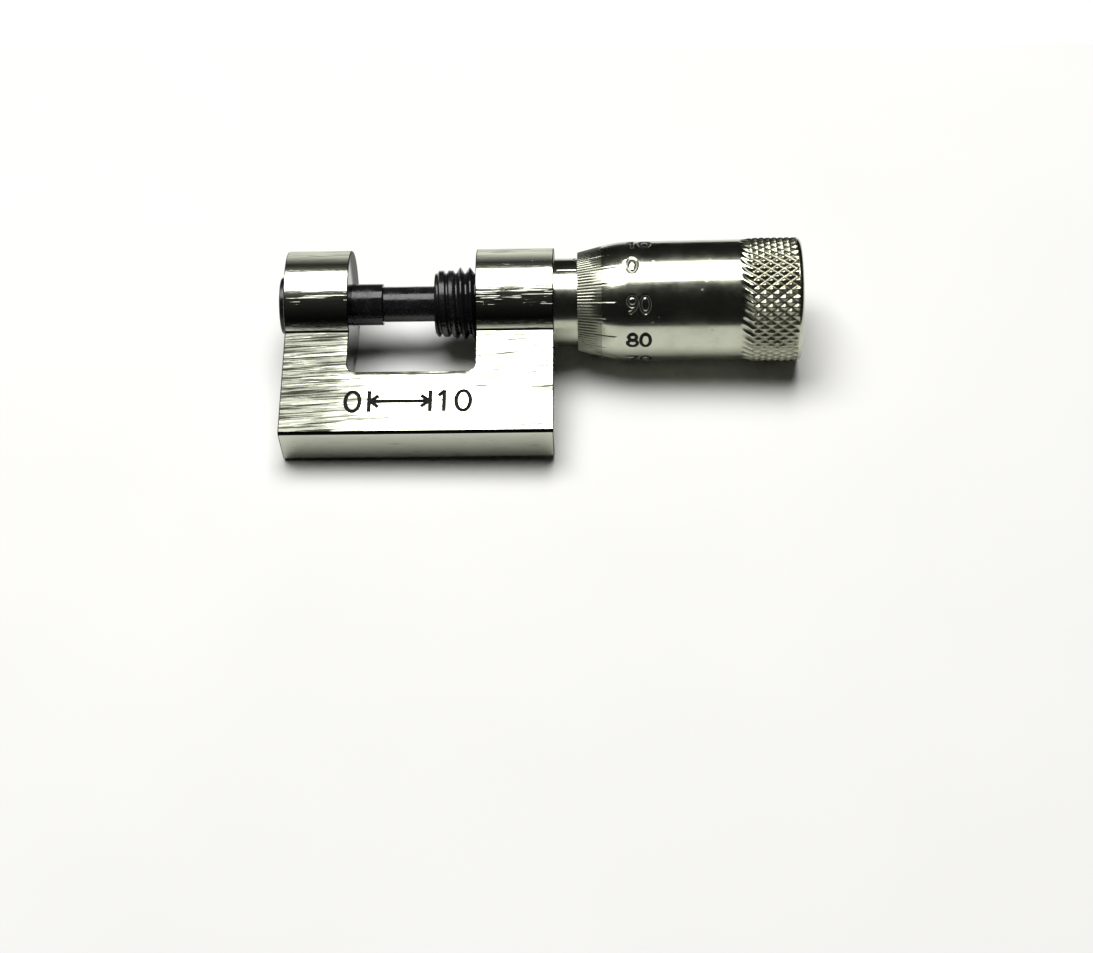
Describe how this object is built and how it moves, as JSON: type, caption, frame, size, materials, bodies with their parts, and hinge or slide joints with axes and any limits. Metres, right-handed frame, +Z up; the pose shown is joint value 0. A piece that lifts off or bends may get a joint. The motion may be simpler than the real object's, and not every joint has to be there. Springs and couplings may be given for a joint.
{
  "type": "miniature micrometer",
  "caption": "Small outside micrometer screw gauge: lugged frame with a flat fin, fixed anvil, threaded spindle, graduated sleeve and knurled thimble.",
  "frame": {"origin": "centre of the anvil's measuring face, on the spindle axis", "axes": "+X along the spindle axis from the anvil towards the thimble; +Z up, away from the surface that the micrometer lies on; the fin points to -Y"},
  "size_m": [0.0547, 0.0241, 0.013],
  "materials": {
    "nickel_frame": "bright nickel plate over straight-grained steel",
    "black_oxide": "oiled black oxide, semi-gloss",
    "chrome_sleeve": "polished plate, engraved scale",
    "bronze_nut": "turned, uncoated",
    "chrome_thimble": "polished plate, satin bevel, diamond knurl",
    "steel_fastener": "turned, bright"
  },
  "bodies": {
    "frame": {"frame": "nickel_frame", "anvil": "black_oxide", "sleeve": "chrome_sleeve", "adjusting_nut": "bronze_nut"},
    "screw_carrier": {"thimble_washer": "steel_fastener"},
    "spindle": {"spindle": "black_oxide", "thimble": "chrome_thimble", "thimble_screw": "steel_fastener"}
  },
  "joints": [
    {"name": "spindle_travel", "type": "slide", "parent": "frame", "child": "screw_carrier", "axis": [1, 0, 0], "range_m": [0, 0.01]},
    {"name": "thimble_turn", "type": "hinge", "parent": "screw_carrier", "child": "spindle", "pos_m": [0, 0, 0], "axis": [1, 0, 0], "range_deg": [0, 3600]}
  ],
  "couplings": [
    {"joint": "thimble_turn", "follows": "spindle_travel", "rad_per_m": 6283.2}
  ]
}
